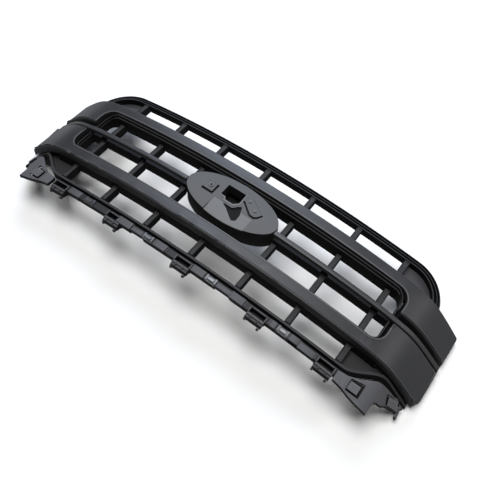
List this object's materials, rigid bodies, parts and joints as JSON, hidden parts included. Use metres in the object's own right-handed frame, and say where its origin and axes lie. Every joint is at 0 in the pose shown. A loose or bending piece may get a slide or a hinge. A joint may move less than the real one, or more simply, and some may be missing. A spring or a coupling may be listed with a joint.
{
  "type": "front grille",
  "caption": "Bowed pickup front grille: two broad bars widening into side wings, thin middle bar, slats, posts, oval badge pedestal and a lower fixing flange.",
  "frame": {"origin": "middle of the bounding box's underside: the floor that the grille rests on, face up, under its own centre", "axes": "+X across the width, to the right as seen from the front; +Y up the face, towards the top edge; +Z out of the front face"},
  "size_m": [1.144, 0.3796, 0.1629],
  "materials": {
    "satin_black_plastic": "satin, fine grain",
    "matte_black_plastic": "matte, fine grain",
    "badge_grey_plastic": "matte",
    "clip_steel": "plated spring steel"
  },
  "bodies": {
    "root": {"badge_pedestal": "badge_grey_plastic", "bottom_flange": "matte_black_plastic", "bottom_rim": "matte_black_plastic", "bottom_rim_end_left": "matte_black_plastic", "bottom_rim_end_right": "matte_black_plastic", "corner_bracket_left": "matte_black_plastic", "corner_bracket_right": "matte_black_plastic", "lower_bar": "satin_black_plastic", "lower_slat": "matte_black_plastic", "lower_wing_left": "satin_black_plastic", "lower_wing_right": "satin_black_plastic", "middle_bar_left": "satin_black_plastic", "middle_bar_right": "satin_black_plastic", "middle_slat_left": "matte_black_plastic", "middle_slat_right": "matte_black_plastic", "post_row1_1": "matte_black_plastic", "post_row1_2": "matte_black_plastic", "post_row1_3": "matte_black_plastic", "post_row1_4": "matte_black_plastic", "post_row1_5": "matte_black_plastic", "post_row1_6": "matte_black_plastic", "post_row1_7": "matte_black_plastic", "post_row2_1": "matte_black_plastic", "post_row2_2": "matte_black_plastic", "post_row2_3": "matte_black_plastic", "post_row2_5": "matte_black_plastic", "post_row2_6": "matte_black_plastic", "post_row2_7": "matte_black_plastic", "post_row3_1": "matte_black_plastic", "post_row3_2": "matte_black_plastic", "post_row3_3": "matte_black_plastic", "post_row3_5": "matte_black_plastic", "post_row3_6": "matte_black_plastic", "post_row3_7": "matte_black_plastic", "post_row4_1": "matte_black_plastic", "post_row4_2": "matte_black_plastic", "post_row4_3": "matte_black_plastic", "post_row4_4": "matte_black_plastic", "post_row4_5": "matte_black_plastic", "post_row4_6": "matte_black_plastic", "post_row4_7": "matte_black_plastic", "side_frame_left": "matte_black_plastic", "side_frame_right": "matte_black_plastic", "snap_latch_1": "matte_black_plastic", "snap_latch_2": "matte_black_plastic", "snap_latch_3": "matte_black_plastic", "snap_latch_4": "matte_black_plastic", "snap_latch_5": "matte_black_plastic", "spring_clip_1": "clip_steel", "spring_clip_2": "clip_steel", "spring_clip_3": "clip_steel", "spring_clip_4": "clip_steel", "top_rim": "matte_black_plastic", "top_rim_corner_left": "matte_black_plastic", "top_rim_corner_right": "matte_black_plastic", "upper_bar": "satin_black_plastic", "upper_slat": "matte_black_plastic", "upper_wing_left": "satin_black_plastic", "upper_wing_right": "satin_black_plastic"}
  },
  "joints": []
}
